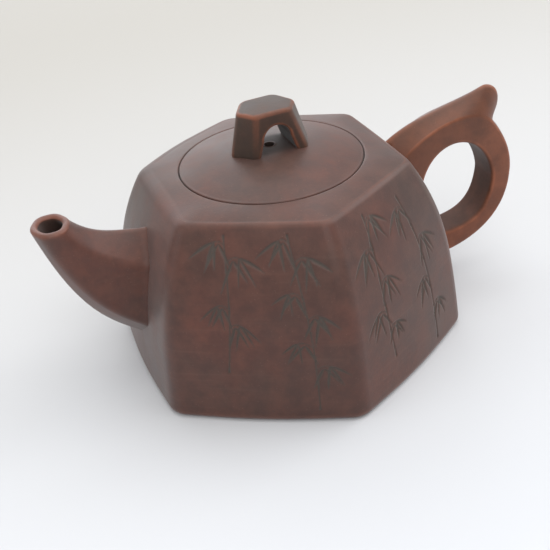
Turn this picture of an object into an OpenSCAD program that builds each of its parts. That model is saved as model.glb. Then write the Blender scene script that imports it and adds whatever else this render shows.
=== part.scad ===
// Hexagonal slab-built clay teapot with a bridge-handled lid. Millimetres, +Z up.
// The spout points along -X, the handle along +X, and the flat base rests on Z = 0.

/* [Body] */
// Corner radius of the six-sided body at the table
foot_corner_r = 67.9; // [58:0.1:78]
// Height of the ridge where the walls turn over into the shoulder
ridge_z = 70; // [62:0.5:80]
// How far the corners come in steadily on the way up to the ridge
wall_lean = 5.6; // [2:0.1:9]
// How far the corners come in besides, mostly close to the ridge
wall_turn = 12.9; // [8:0.1:16]
// How late the walls turn in; a larger power keeps them upright for longer
turn_power = 3.5; // [2.5:0.1:5]
// Outward bow of each side at the foot
bow_foot = 2.0; // [0.5:0.1:4]
// Outward bow of each side at the ridge
bow_ridge = 0.34; // [0:0.02:1.5]
// Half angle over which each upright corner is rounded, in degrees about the axis
corner_soft = 2.6; // [1.5:0.1:5]
// Thickness of the wall slabs
wall_t = 3.6; // [2.8:0.1:5]
// Thickness of the base slab
base_t = 4.5; // [3.5:0.1:7]
// Radius of the worn lower edge all round the base
base_edge_r = 3.0; // [1:0.1:4]
// Radius of the worn ridge
ridge_edge_r = 1.3; // [0.6:0.1:2.5]

/* [Shoulder and mouth] */
// Height of the shoulder slab's rim above the ledge that carries the lid
shoulder_t = 3.0; // [2.4:0.1:5]
// Rise of the shoulder from the ridge to the lid's edge
shoulder_rise = 1.9; // [0.8:0.1:4]
// Radius of the round opening in the shoulder
mouth_r = 33.65; // [27:0.05:36]
// Width of the ledge under the lid's edge, inside the opening
ledge_w = 5.05; // [3:0.05:8]
// How far the ring that forms the ledge runs out under the shoulder
seat_lap = 4.55; // [2.5:0.05:6]
// Depth of that ring below the shoulder
seat_h = 3.6; // [2.5:0.1:6]

/* [Lid] */
// Gap between the lid and the shoulder all round
lid_gap = 0.3; // [0.25:0.05:0.8]
// Gap between the lid and the ledge under it
lid_seat_gap = 0.3; // [0.25:0.05:0.6]
// Rise of the lid's dome from its edge to its middle
lid_crown = 5.8; // [2:0.1:8]
// Thickness of the lid at its middle
lid_t = 4.2; // [3:0.1:6]
// Gap between the flange and the ledge's bore
flange_gap = 0.4; // [0.3:0.05:1]
// Thickness of the flange under the lid
flange_t = 2.8; // [2:0.1:4]
// Depth of the flange below the lid's underside
flange_h = 8.5; // [5:0.1:12]
// Radius of the vent hole at the lid's middle
vent_r = 1.75; // [1:0.05:2.5]

/* [Knob] */
// Half length of the knob where it meets the lid
knob_foot_x = 15.0; // [12:0.1:18]
// Half width of the knob where it meets the lid
knob_foot_y = 8.2; // [5:0.1:10]
// Half length of the knob at its top
knob_top_x = 11.4; // [9:0.1:15]
// Half width of the knob at its top
knob_top_y = 8.1; // [5:0.1:10]
// How far the spout-side foot runs out to a point past its side faces
knob_point = 6.9; // [4:0.1:8]
// How far the blunter handle-side foot runs out past its side faces
knob_blunt = 3.4; // [2:0.1:7]
// How far both ends run out past the side faces at the knob's top
knob_top_point = 4.6; // [3:0.1:6]
// Height of the knob's crown above the table
knob_top_z = 93.1; // [88:0.1:100]
// Drop of the knob's crown from its middle to its ends
knob_crown = 1.0; // [0.5:0.1:5]
// Half width of the opening through the knob, at the spring of its arch
arch_half_w = 5.1; // [4:0.1:7]
// Height of that opening's crown above the table
arch_top_z = 87.8; // [84:0.1:89]
// How far the opening's sides spread on the way down
arch_flare = 3.4; // [0:0.1:4]
// Distance of the opening's middle from the axis, towards the handle
arch_shift = 0.7; // [-1:0.1:1.5]
// Rounding of the knob's edges
knob_edge = 1.5; // [0.4:0.1:2.5]

/* [Spout] */
// Start of the spout's top ridge line, inside the wall
spout_top_root = [45, 58.2];
// First pull on the top ridge line
spout_top_pull_a = [60, 61.6];
// Second pull on the top ridge line
spout_top_pull_b = [66.0, 61.3];
// Inner edge of the spout's mouth
spout_top_end = [73.9, 68.7];
// Start of the spout's keel line, inside the wall
spout_keel_root = [54, 13.5];
// First pull on the keel line
spout_keel_pull_a = [71.1, 24.1];
// Second pull on the keel line
spout_keel_pull_b = [80.5, 34.6];
// Outer edge of the spout's mouth
spout_keel_end = [89.2, 68.7];
// Half width of the spout across its upper corners at the root
spout_upper_w = 11.2; // [8:0.1:13]
// Half width of the spout across its lower corners at the root
spout_lower_w = 13.8; // [10:0.1:15]
// Half width of the spout at its mouth
spout_mouth_w = 8.2; // [6.5:0.1:10]
// Thickness of the spout's clay
spout_t = 2.9; // [2:0.1:4]
// Radius of each strainer hole in the wall behind the spout
strainer_hole_r = 1.9; // [1.2:0.05:2.4]
// Distance of the outer strainer holes from the middle one
strainer_pitch = 7.0; // [5.5:0.1:8]
// Height of the middle strainer hole
strainer_z = 38; // [34:0.5:44]

/* [Handle] */
// Half width of the handle's flat sides
handle_w = 7.0; // [5.5:0.1:9]
// Height of the thumb rest's crest
thumb_z = 79.2; // [75:0.1:84]
// Height at which the thumb rest runs back into the ring
notch_z = 66; // [62:0.1:70]
// Reach of the handle's back from the axis
handle_reach = 99.8; // [95:0.1:108]
// How far the ridge along the handle's outside stands proud of its side faces
handle_ridge = 2.5; // [1:0.1:4]
// Reach of the finger hole from the axis
finger_reach = 89.3; // [84:0.1:92]
// Height of the finger hole's floor
finger_floor_z = 23.5; // [21:0.1:28]
// Thickness of the handle below the finger hole
handle_foot_t = 9.6; // [8:0.1:13]
// Rounding of the handle's edges
handle_edge = 1.5; // [0.5:0.1:2.5]

/* [Hidden] */

sides = 6;
side_turn = 360 / sides;
half_turn = side_turn / 2;
half_cells = 5;
wall_rows = 10;
roof_rows = 3;
drill_over = 1;
round_fn = 96;

clay = [0.50, 0.33, 0.28];
clay_warm = [0.60, 0.36, 0.27];
clay_dark = [0.42, 0.28, 0.25];

// The shoulder stands on the walls here, and the lid's ledge is at the same height.
join_z = ridge_z - shoulder_t;
rim_z = ridge_z + shoulder_rise;
ledge_r = mouth_r - ledge_w;
seat_outer_r = mouth_r + seat_lap;
lid_r = mouth_r - lid_gap;
lid_under_z = join_z + lid_seat_gap;
lid_top_z = rim_z + lid_crown;
flange_r = ledge_r - flange_gap;

// ---- Plan and profile of the body ----

function rise(z) = max(z, 0) / ridge_z;
function corner_r(z) = foot_corner_r - wall_lean * rise(z) - wall_turn * pow(rise(z), turn_power);
function bow(z) = bow_foot + (bow_ridge - bow_foot) * rise(z);

// Slope of the straight-sided outline at its corner, which the soft corner must take out.
function corner_slope(z) =
  corner_r(z) * tan(half_turn) - 2 * bow(z) * 180 / (PI * half_turn);
function corner_cut(a, z) =
  let (near = max(0, 1 - (half_turn - abs(a)) / corner_soft))
  corner_slope(z) * corner_soft * PI / 360 * near * near;

// Distance of the outline from the axis at an angle a from the middle of a side.
function outline_r(a, z) =
  corner_r(z) * cos(half_turn) / cos(a) + bow(z) * (1 - pow(a / half_turn, 2)) - corner_cut(a, z);

// Angles across a side, drawn together towards its corners.
function side_angle(k) =
  let (u = k / half_cells - 1)
  half_turn * sign(u) * (1 - pow(1 - abs(u), 1.8));
side_angles = [for (k = [0 : 2 * half_cells]) side_angle(k)];
ring_angles = [for (s = [0 : sides - 1], k = [0 : 2 * half_cells - 1]) [s * side_turn, side_angles[k]]];

function polar(a, r, z) = [r * cos(a), r * sin(a), z];
function side_row(turn, z, inset) =
  [for (a = side_angles) polar(turn + a, outline_r(a, z) - inset / cos(a), z)];
function ring_row(z, inset) =
  [for (p = ring_angles) polar(p[0] + p[1], outline_r(p[1], z) - inset, z)];

wall_levels = [for (i = [0 : wall_rows]) base_t + (join_z - base_t) * i / wall_rows];

// The worn ridge as [inset, drop] steps of a quarter circle, then the roof as shares of the way in.
ridge_steps = [for (a = [0 : 30 : 90]) ridge_edge_r * [1 - cos(a), sin(a) - 1]];
roof_shares = [for (i = [1 : roof_rows]) i / roof_rows];
core_r = ledge_r;
function roof_z(f) = ridge_z + shoulder_rise * f * (2 - f) * 0.5 + shoulder_rise * f * 0.5;
function roof_point(turn, a, f) =
  let (from = outline_r(a, ridge_z) - ridge_edge_r)
  let (reach = (mouth_r - core_r) / (from - core_r))
  polar(turn + a, from + (core_r - from) * f, roof_z(min(f / (1 - reach), 1)));

function shoulder_side(turn) = concat(
  [for (s = ridge_steps)
    [for (a = side_angles) polar(turn + a, outline_r(a, ridge_z + s[1]) - s[0], ridge_z + s[1])]],
  [for (f = roof_shares) [for (a = side_angles) roof_point(turn, a, f)]]
);

// ---- Solids from grids of points ----

// Closed solid between two grids of the same size, the first outside.
module slab(outer, inner) {
  n = len(outer);
  m = len(outer[0]);
  far = n * m;
  polyhedron(
    points = [for (grid = [outer, inner], row = grid, p = row) p],
    faces = concat(
      [for (i = [0 : n - 2], j = [0 : m - 2], f = [
        [i * m + j, (i + 1) * m + j + 1, i * m + j + 1],
        [i * m + j, (i + 1) * m + j, (i + 1) * m + j + 1],
        [far + i * m + j, far + i * m + j + 1, far + (i + 1) * m + j + 1],
        [far + i * m + j, far + (i + 1) * m + j + 1, far + (i + 1) * m + j]
      ]) f],
      [for (j = [0 : m - 2]) [j, j + 1, far + j + 1, far + j]],
      [for (j = [0 : m - 2], top = [(n - 1) * m]) [top + j, far + top + j, far + top + j + 1, top + j + 1]],
      [for (i = [0 : n - 2]) [i * m, far + i * m, far + (i + 1) * m, (i + 1) * m]],
      [for (i = [0 : n - 2], e = [m - 1])
        [i * m + e, (i + 1) * m + e, far + (i + 1) * m + e, far + i * m + e]]
    ),
    convexity = 6
  );
}

// Triangles of the skin from row i to row k of closed rings of m points.
function skin(i, k, m) =
  [for (j = [0 : m - 1], f = [
    [i * m + j, k * m + (j + 1) % m, i * m + (j + 1) % m],
    [i * m + j, k * m + j, k * m + (j + 1) % m]
  ]) f];

// Solid through a stack of rings, closed flat at both ends.
module loft(rings) {
  n = len(rings);
  m = len(rings[0]);
  polyhedron(
    points = [for (ring = rings, p = ring) p],
    faces = concat(
      [for (i = [0 : n - 2], f = skin(i, i + 1, m)) f],
      [[for (j = [0 : m - 1]) j]],
      [[for (j = [m - 1 : -1 : 0]) (n - 1) * m + j]]
    ),
    convexity = 6
  );
}

// Tube whose rings run out along its outside and back along its inside.
module tube(rings) {
  n = len(rings);
  m = len(rings[0]);
  polyhedron(
    points = [for (ring = rings, p = ring) p],
    faces = [for (i = [0 : n - 1], f = skin(i, (i + 1) % n, m)) f],
    convexity = 8
  );
}

// Replaces each corner of a ring by three points, cut back by up to c along its edges.
function soften(ring, c) =
  let (m = len(ring))
  [for (i = [0 : m - 1])
    let (p = ring[i], q = ring[(i + m - 1) % m], r = ring[(i + 1) % m])
    let (a = p + (q - p) * min(c / norm(q - p), 0.42), b = p + (r - p) * min(c / norm(r - p), 0.42))
    each [a, (a + 2 * p + b) / 4, b]];

function bezier(g, t) =
  pow(1 - t, 3) * g[0] + 3 * t * pow(1 - t, 2) * g[1] + 3 * t * t * (1 - t) * g[2] + pow(t, 3) * g[3];
function mix(a, b, t) = a + (b - a) * t;

// ---- Body ----

module base_slab() {
  edge = min(base_edge_r, base_t - 0.5);
  steps = [for (a = [0 : 22.5 : 90]) edge * [1 - sin(a), 1 - cos(a)]];
  color(clay_dark)
    loft(concat([for (s = steps) ring_row(s[1], s[0])], [ring_row(base_t, 0)]));
}

module wall(turn) {
  slab(
    [for (z = wall_levels) side_row(turn, z, 0)],
    [for (z = wall_levels) side_row(turn, z, wall_t)]
  );
}

// Everything behind one side's outer skin, from the base slab over the ridge to the roof.
module behind_side(turn) {
  skin_rows = concat([for (z = wall_levels) side_row(turn, z, 0)], shoulder_side(turn));
  middle = [0, 0, ridge_z / 2];
  slab(skin_rows, [for (row = skin_rows) [for (p = row) middle + (p - middle) * 0.35]]);
}

module strainer_holes() {
  spots = concat([[0, 0]], [for (a = [0 : 60 : 300]) strainer_pitch * [sin(a), cos(a)]]);
  for (s = spots)
    translate([-foot_corner_r - drill_over, s[0], strainer_z + s[1]])
      rotate([0, 90, 0])
        cylinder(r = strainer_hole_r, h = foot_corner_r / 2, $fn = 32);
}

module wall_spout() {
  color(clay)
    difference() {
      wall(3 * side_turn);
      strainer_holes();
    }
}

module wall_front() {
  color(clay) wall(4 * side_turn);
}

module wall_front_right() {
  color(clay) wall(5 * side_turn);
}

module wall_handle() {
  color(clay) wall(0);
}

module wall_rear_right() {
  color(clay) wall(side_turn);
}

module wall_rear_left() {
  color(clay) wall(2 * side_turn);
}

module shoulder_slab() {
  sides_out = [for (s = [0 : sides - 1]) shoulder_side(s * side_turn)];
  rows = [for (i = [0 : len(sides_out[0]) - 1])
    [for (s = [0 : sides - 1], k = [0 : 2 * half_cells - 1]) sides_out[s][i][k]]];
  color(clay)
    difference() {
      loft(concat([ring_row(join_z, 0)], rows));
      translate([0, 0, join_z - drill_over])
        cylinder(r = mouth_r, h = shoulder_t + shoulder_rise + lid_crown, $fn = round_fn);
    }
}

module mouth_ring() {
  color(clay_dark)
    rotate_extrude($fn = round_fn)
      polygon([
        [ledge_r, join_z - seat_h + 1],
        [ledge_r + 1, join_z - seat_h],
        [seat_outer_r - 2, join_z - seat_h],
        [seat_outer_r, join_z - seat_h + 2],
        [seat_outer_r, join_z],
        [ledge_r, join_z]
      ]);
}

// ---- Spout ----

spout_top = [spout_top_root, spout_top_pull_a, spout_top_pull_b, spout_top_end];
spout_keel = [spout_keel_root, spout_keel_pull_a, spout_keel_pull_b, spout_keel_end];
spout_stations = 12;

// One six-cornered ring between a ridge point and a keel point, both [distance out, height].
function spout_ring(top, keel, t, inset, soft) =
  let (along = (keel - top) / norm(keel - top))
  let (a = top + along * inset, b = keel - along * inset)
  let (upper = mix(a, b, 0.24), lower = mix(a, b, mix(0.80, 0.74, t)))
  let (wu = mix(spout_upper_w, spout_mouth_w, t) - inset)
  let (wl = mix(spout_lower_w, spout_mouth_w, sqrt(t)) - inset)
  soften([
    [-a[0], 0, a[1]], [-upper[0], wu, upper[1]], [-lower[0], wl, lower[1]],
    [-b[0], 0, b[1]], [-lower[0], -wl, lower[1]], [-upper[0], -wu, upper[1]]
  ], soft);
function spout_station(t, inset) =
  spout_ring(bezier(spout_top, t), bezier(spout_keel, t), t, inset, mix(2.0, 4.2, t * t) + inset / 2);

module spout() {
  lip = 0.6;
  times = [for (i = [0 : spout_stations]) i / spout_stations];
  lip_ring = [for (p = spout_station(1, spout_t / 2)) p + [0, 0, lip]];
  color(clay_warm)
    difference() {
      tube(concat(
        [for (t = times) spout_station(t, 0)],
        [lip_ring],
        [for (i = [spout_stations : -1 : 0]) spout_station(times[i], spout_t)]
      ));
      behind_side(3 * side_turn);
    }
}

// ---- Handle ----

// Guide curves in the upright plane, [distance out, height]: the ridge along the outside, the edge of
// the flat side faces, and the finger hole. Each runs from the shoulder over the back to the low root.
back_z = 42;
notch_x = handle_reach - 10.8;
ridge_top = [[42, 64.5], [55.4, 75.4], [73.7, thumb_z - 4.3], [notch_x + 0.7, thumb_z]];
ridge_thumb = [
  [notch_x + 0.7, thumb_z], [notch_x + 7.7, thumb_z - 1.6], [notch_x + 8.2, notch_z + 2.7],
  [notch_x + 2.5, notch_z - 0.8]
];
ridge_back = [
  [notch_x + 2.5, notch_z - 0.8], [handle_reach - 2.1, notch_z - 6.8], [handle_reach + 0.5, back_z + 8.4],
  [handle_reach, back_z]
];
ridge_under = [
  [handle_reach, back_z], [handle_reach - 0.8, finger_floor_z - 6],
  [76.8, finger_floor_z - handle_foot_t - handle_ridge - 0.7],
  [56, finger_floor_z - handle_foot_t - handle_ridge]
];
edge_reach = handle_reach - handle_ridge;
edge_top = [[44, 52], [50.3, 67.2], [76.5, 77.4], [notch_x, notch_z]];
edge_back = [
  [notch_x, notch_z], [notch_x + 5.2, notch_z - 6.9], [edge_reach + 1, back_z + 8.9], [edge_reach, back_z]
];
edge_under = [
  [edge_reach, back_z], [edge_reach - 1.5, finger_floor_z - 3.2],
  [75.3, finger_floor_z - handle_foot_t - 1.5], [56, finger_floor_z - handle_foot_t + 0.1]
];
finger_upper = [[57.5, 38], [56.4, 67.6], [finger_reach - 2.6, 67.4], [finger_reach, back_z]];
finger_lower = [
  [finger_reach, back_z], [finger_reach - 2.2, finger_floor_z - 2.7], [73.3, finger_floor_z + 0.1],
  [54, finger_floor_z - 0.5]
];

// How many steps each stretch takes, and where along the shared guides the thumb rest begins and ends.
top_cells = 9;
thumb_cells = 7;
back_cells = 5;
under_cells = 9;
edge_thumb = 0.84;
finger_thumb = 0.66;
finger_notch = 0.78;

// Points along one guide for the four stretches; [guide, from, to] for each.
function stretch(g, from, to, cells) = [for (i = [0 : cells - 1]) bezier(g, mix(from, to, i / cells))];
function stretches(top, thumb, back, under) = concat(
  stretch(top[0], top[1], top[2], top_cells),
  stretch(thumb[0], thumb[1], thumb[2], thumb_cells),
  stretch(back[0], back[1], back[2], back_cells),
  stretch(under, 0, 1, under_cells),
  [under[3]]
);
handle_ridge_line = stretches([ridge_top, 0, 1], [ridge_thumb, 0, 1], [ridge_back, 0, 1], ridge_under);
handle_edge_line =
  stretches([edge_top, 0, edge_thumb], [edge_top, edge_thumb, 1], [edge_back, 0, 1], edge_under);
handle_finger_line = stretches(
  [finger_upper, 0, finger_thumb], [finger_upper, finger_thumb, finger_notch],
  [finger_upper, finger_notch, 1], finger_lower
);

// Five-cornered ring with a ridge outside and a flat inside.
function handle_ring(ridge, edge, inner) = soften([
  [ridge[0], 0, ridge[1]], [edge[0], -handle_w, edge[1]], [inner[0], -handle_w, inner[1]],
  [inner[0], handle_w, inner[1]], [edge[0], handle_w, edge[1]]
], handle_edge);

module handle() {
  color(clay_warm)
    difference() {
      loft([for (k = [0 : len(handle_ridge_line) - 1])
        handle_ring(handle_ridge_line[k], handle_edge_line[k], handle_finger_line[k])]);
      behind_side(0);
    }
}

// ---- Lid ----

function dome_z(r) = lid_top_z - lid_crown * pow(r / lid_r, 2);
dome_steps = 12;
flange_seat_r = flange_r - flange_t - 1;

module lid_disc() {
  hollow_top = lid_top_z - lid_t;
  color(clay)
    rotate_extrude($fn = round_fn)
      polygon(concat(
        [[vent_r, hollow_top], [flange_seat_r * 0.6, mix(hollow_top, lid_under_z, 0.15)]],
        [[flange_seat_r, lid_under_z], [lid_r - 0.5, lid_under_z], [lid_r, lid_under_z + 0.5]],
        [[lid_r, dome_z(lid_r) - 0.5], [lid_r - 0.4, dome_z(lid_r - 0.4)]],
        [for (i = [dome_steps - 1 : -1 : 1]) [lid_r * i / dome_steps, dome_z(lid_r * i / dome_steps)]],
        [[vent_r, dome_z(vent_r)]]
      ));
}

module lid_flange() {
  lead = 0.8;
  color(clay_dark)
    rotate_extrude($fn = round_fn)
      polygon([
        [flange_r - flange_t, lid_under_z],
        [flange_r - flange_t, lid_under_z - flange_h + lead],
        [flange_r - flange_t + lead, lid_under_z - flange_h],
        [flange_r - lead, lid_under_z - flange_h],
        [flange_r, lid_under_z - flange_h + lead],
        [flange_r, lid_under_z]
      ]);
}

// Plan of the knob: a six-sided ring with one point towards the spout and one towards the handle.
function knob_ring(x, y, z, spout_point, handle_point) =
  let (p = x - spout_point, q = x - handle_point)
  soften([[x, 0, z], [q, y, z], [-p, y, z], [-x, 0, z], [-p, -y, z], [q, -y, z]], 1.4 * knob_edge);

// Side view of the knob above its crown's ends, and of the opening through it.
module knob_side() {
  low = lid_top_z - lid_crown;
  crown_steps = 10;
  polygon(concat(
    [[-knob_foot_x - drill_over, low], [knob_foot_x + drill_over, low]],
    [for (i = [0 : crown_steps])
      let (u = 1 - 2 * i / crown_steps)
      [u * (knob_top_x + drill_over), knob_top_z - knob_crown * u * u]]
  ));
}

module knob_opening() {
  low = lid_top_z - lid_crown;
  mid_z = arch_top_z - arch_half_w;
  rotate([90, 0, 0])
    linear_extrude(height = 4 * knob_foot_y, center = true)
      translate([arch_shift, 0]) {
        translate([0, mid_z]) circle(r = arch_half_w, $fn = 48);
        polygon([
          [-arch_half_w, mid_z], [-arch_half_w - arch_flare, low],
          [arch_half_w + arch_flare, low], [arch_half_w, mid_z]
        ]);
      }
}

module dome_below() {
  rotate_extrude($fn = round_fn)
    polygon(concat(
      [[0, lid_under_z], [lid_r, lid_under_z]],
      [for (i = [dome_steps : -1 : 1]) [lid_r * i / dome_steps, dome_z(lid_r * i / dome_steps)]],
      [[vent_r, dome_z(vent_r)], [0, dome_z(vent_r)]]
    ));
}

module lid_knob() {
  low = lid_top_z - lid_crown;
  bevel_z = knob_top_z - knob_edge;
  top_x = knob_top_x - knob_edge;
  color(clay_warm)
    difference() {
      intersection() {
        loft([
          knob_ring(knob_foot_x, knob_foot_y, low, knob_point, knob_blunt),
          knob_ring(knob_foot_x, knob_foot_y, lid_top_z, knob_point, knob_blunt),
          knob_ring(knob_top_x, knob_top_y, bevel_z, knob_top_point, knob_top_point),
          knob_ring(top_x, knob_top_y - knob_edge, knob_top_z + drill_over, knob_top_point, knob_top_point)
        ]);
        rotate([90, 0, 0])
          linear_extrude(height = 4 * knob_foot_y, center = true)
            knob_side();
      }
      knob_opening();
      dome_below();
    }
}

base_slab();
wall_spout();
wall_front();
wall_front_right();
wall_handle();
wall_rear_right();
wall_rear_left();
shoulder_slab();
mouth_ring();
spout();
handle();
lid_disc();
lid_flange();
lid_knob();
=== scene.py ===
"""Looks of a six-sided, slab-built clay teapot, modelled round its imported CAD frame.

The sizes below are millimetres in the maker's frame: the flat base rests on Z = 0, the spout points
along -X and the handle along +X. They turn into metres when a mesh is made. Every new piece is a
surface worked out on a grid, so its place is in its mesh and its object stays at the origin.
"""

import logging
import math
from dataclasses import dataclass
from enum import Enum

import bpy
import numpy as np
from mathutils import Matrix, Vector


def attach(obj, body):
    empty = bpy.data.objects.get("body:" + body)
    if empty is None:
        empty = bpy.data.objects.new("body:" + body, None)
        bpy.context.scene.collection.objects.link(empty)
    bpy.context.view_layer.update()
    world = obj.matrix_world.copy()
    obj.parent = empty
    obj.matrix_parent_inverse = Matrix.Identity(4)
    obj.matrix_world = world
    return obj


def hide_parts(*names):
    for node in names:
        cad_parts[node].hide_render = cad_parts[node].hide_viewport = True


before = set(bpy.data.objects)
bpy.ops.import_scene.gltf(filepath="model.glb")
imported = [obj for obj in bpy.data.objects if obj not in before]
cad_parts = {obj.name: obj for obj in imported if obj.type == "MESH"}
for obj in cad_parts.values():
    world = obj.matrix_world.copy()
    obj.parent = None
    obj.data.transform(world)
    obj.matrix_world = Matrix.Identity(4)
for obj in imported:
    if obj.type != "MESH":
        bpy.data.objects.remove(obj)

MM = 0.001
SIDES = 6
HALF_TURN = 180.0 / SIDES
LOG = logging.getLogger("teapot")
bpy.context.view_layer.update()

Colour = tuple[float, float, float]
Point = tuple[float, float, float]
Range = tuple[float, float]
Curve = tuple[tuple[float, float], ...]


class Rider(Enum):
    """The two bodies of the frame that a piece can move with."""

    POT = "pot"
    LID = "lid"


class Slot(Enum):
    """The record's material slots."""

    CLAY = "clay"
    WARM = "clay_warm"
    INNER = "clay_inner"


class Ends(Enum):
    """How a grid of closed rings is shut at its first and last ring."""

    POLES = "each end ring fans in to its own centre"
    JOINED = "the last ring joins the first, as on a tube with a wall"


class Side(Enum):
    """Direction of each side's middle, in degrees about the axis."""

    HANDLE = 0
    REAR_RIGHT = 60
    REAR_LEFT = 120
    SPOUT = 180
    FRONT = 240
    FRONT_RIGHT = 300


# ---- Small numeric helpers ----


def smoothstep(low: float, high: float, value: np.ndarray) -> np.ndarray:
    """Return 0 below low, 1 above high and a smooth S between them."""
    t = np.clip((value - low) / (high - low), 0.0, 1.0)
    return t * t * (3 - 2 * t)


def mix(a: np.ndarray, b: np.ndarray, t: np.ndarray) -> np.ndarray:
    """Return a where t is 0, b where t is 1 and the straight blend between."""
    return a + (b - a) * t


def bezier(pulls: Curve, t: np.ndarray) -> np.ndarray:
    """Points of a cubic curve: each pull weighs in by its Bernstein share of t.

    Args:
        pulls: The curve's four control points, [distance out, height].
        t: Parameters from 0 to 1.

    Returns:
        An array of len(t) points.
    """
    g = np.asarray(pulls, float)
    u = 1 - t
    shares = np.stack([u**3, 3 * t * u**2, 3 * t**2 * u, t**3], axis=-1)
    return shares @ g


def soft_rings(corners: np.ndarray, cut: np.ndarray, steps: int) -> np.ndarray:
    """Rings whose corners are rounded.

    Each corner p is replaced by a quadratic curve that leaves its first edge a distance cut before
    p, is pulled towards p, and joins its second edge the same distance after it.

    Args:
        corners: Array (rings, corners, 3).
        cut: Length cut from each edge, as (rings, 1) or (rings, corners); never past most of it.
        steps: Points on each rounded corner.

    Returns:
        Array (rings, corners * steps, 3).
    """
    before = np.roll(corners, 1, axis=1) - corners
    after = np.roll(corners, -1, axis=1) - corners
    most = 0.42

    def edge_point(way: np.ndarray) -> np.ndarray:
        """Point on the edge that runs along way, at the cut's distance from the corner."""
        length = np.linalg.norm(way, axis=-1)
        return corners + way * np.minimum(cut / length, most)[..., None]

    leave, pull, join = (p[:, :, None] for p in (edge_point(before), corners, edge_point(after)))
    t = np.linspace(0, 1, steps)[None, None, :, None]
    curve = leave * (1 - t) ** 2 + pull * 2 * t * (1 - t) + join * t**2
    return curve.reshape(len(corners), -1, 3)


def blurred(line: np.ndarray, width: float) -> np.ndarray:
    """A line of points, each one averaged with its neighbours under a bell curve.

    Args:
        line: Array (points, 2).
        width: The bell's width in points.

    Returns:
        Array of the same shape; the two ends stay where they are.
    """
    reach = int(3 * width)
    bell = np.exp(-0.5 * (np.arange(-reach, reach + 1) / width) ** 2)
    bell /= bell.sum()
    padded = np.concatenate([
        2 * line[0] - line[reach:0:-1], line, 2 * line[-1] - line[-2 : -reach - 2 : -1]
    ])
    return np.stack([np.convolve(padded[:, k], bell, mode="valid") for k in range(2)], axis=-1)


# ---- Meshes ----


def signed_volume(points: np.ndarray, triangles: np.ndarray) -> float:
    """Volume inside a closed surface: its tetrahedra from the origin to each triangle, summed."""
    a, b, c = (points[triangles[:, k]] for k in range(3))
    return float(np.einsum("ij,ij->i", a, np.cross(b, c)).sum() / 6)


def surface(name: str, grid: np.ndarray, ends: Ends) -> bpy.types.Object:
    """Make a closed mesh from a grid of closed rings, with its faces turned outwards.

    Args:
        name: The piece's name.
        grid: Array (rings, points in a ring, 3), in millimetres.
        ends: How the first and last rings are shut.

    Returns:
        The new object, at the origin, with its mesh in metres.
    """
    rings, around, _ = grid.shape
    index = np.arange(rings * around).reshape(rings, around)
    across = np.roll(index, -1, axis=1)
    if ends is Ends.JOINED:
        low, high = index, np.roll(index, -1, axis=0)
        low_next, high_next = across, np.roll(across, -1, axis=0)
    else:
        low, high, low_next, high_next = index[:-1], index[1:], across[:-1], across[1:]
    quads = np.stack([low, low_next, high_next, high], axis=-1).reshape(-1, 4)
    points = grid.reshape(-1, 3)
    fans = np.zeros((0, 3), int)
    if ends is Ends.POLES:
        first, last = len(points), len(points) + 1
        points = np.concatenate([points, grid[[0, -1]].mean(axis=1)])
        fans = np.concatenate([
            np.stack([np.full(around, first), across[0], index[0]], axis=-1),
            np.stack([np.full(around, last), index[-1], across[-1]], axis=-1),
        ])
    triangles = np.concatenate([quads[:, [0, 1, 2]], quads[:, [0, 2, 3]], fans])
    if signed_volume(points, triangles) < 0:
        quads, fans = quads[:, ::-1], fans[:, ::-1]

    mesh = bpy.data.meshes.new(name)
    corners = np.concatenate([quads.ravel(), fans.ravel()])
    sizes = np.concatenate([np.full(len(quads), 4), np.full(len(fans), 3)])
    mesh.vertices.add(len(points))
    mesh.vertices.foreach_set("co", (points * MM).astype(np.float32).ravel())
    mesh.loops.add(len(corners))
    mesh.loops.foreach_set("vertex_index", corners.astype(np.int32))
    mesh.polygons.add(len(sizes))
    mesh.polygons.foreach_set("loop_start", (np.cumsum(sizes) - sizes).astype(np.int32))
    mesh.polygons.foreach_set("use_smooth", np.ones(len(sizes), bool))
    mesh.update(calc_edges=True)
    mesh.validate()
    piece = bpy.data.objects.new(name, mesh)
    bpy.context.scene.collection.objects.link(piece)
    return piece


def with_poles(values: np.ndarray) -> np.ndarray:
    """A grid's values in one row, and a nought for each of its two poles."""
    return np.concatenate([values.ravel(), [0, 0]])


def vertex_places(mesh: bpy.types.Mesh) -> np.ndarray:
    """Every vertex's place, in millimetres."""
    places = np.empty(len(mesh.vertices) * 3, np.float32)
    mesh.vertices.foreach_get("co", places)
    return places.reshape(-1, 3) / MM


def set_attribute(piece: bpy.types.Object, name: str, values: np.ndarray) -> None:
    """Store one number for each vertex under a name that a material can read."""
    layer = piece.data.attributes.new(name, "FLOAT", "POINT")
    layer.data.foreach_set("value", values.astype(np.float32))


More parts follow.
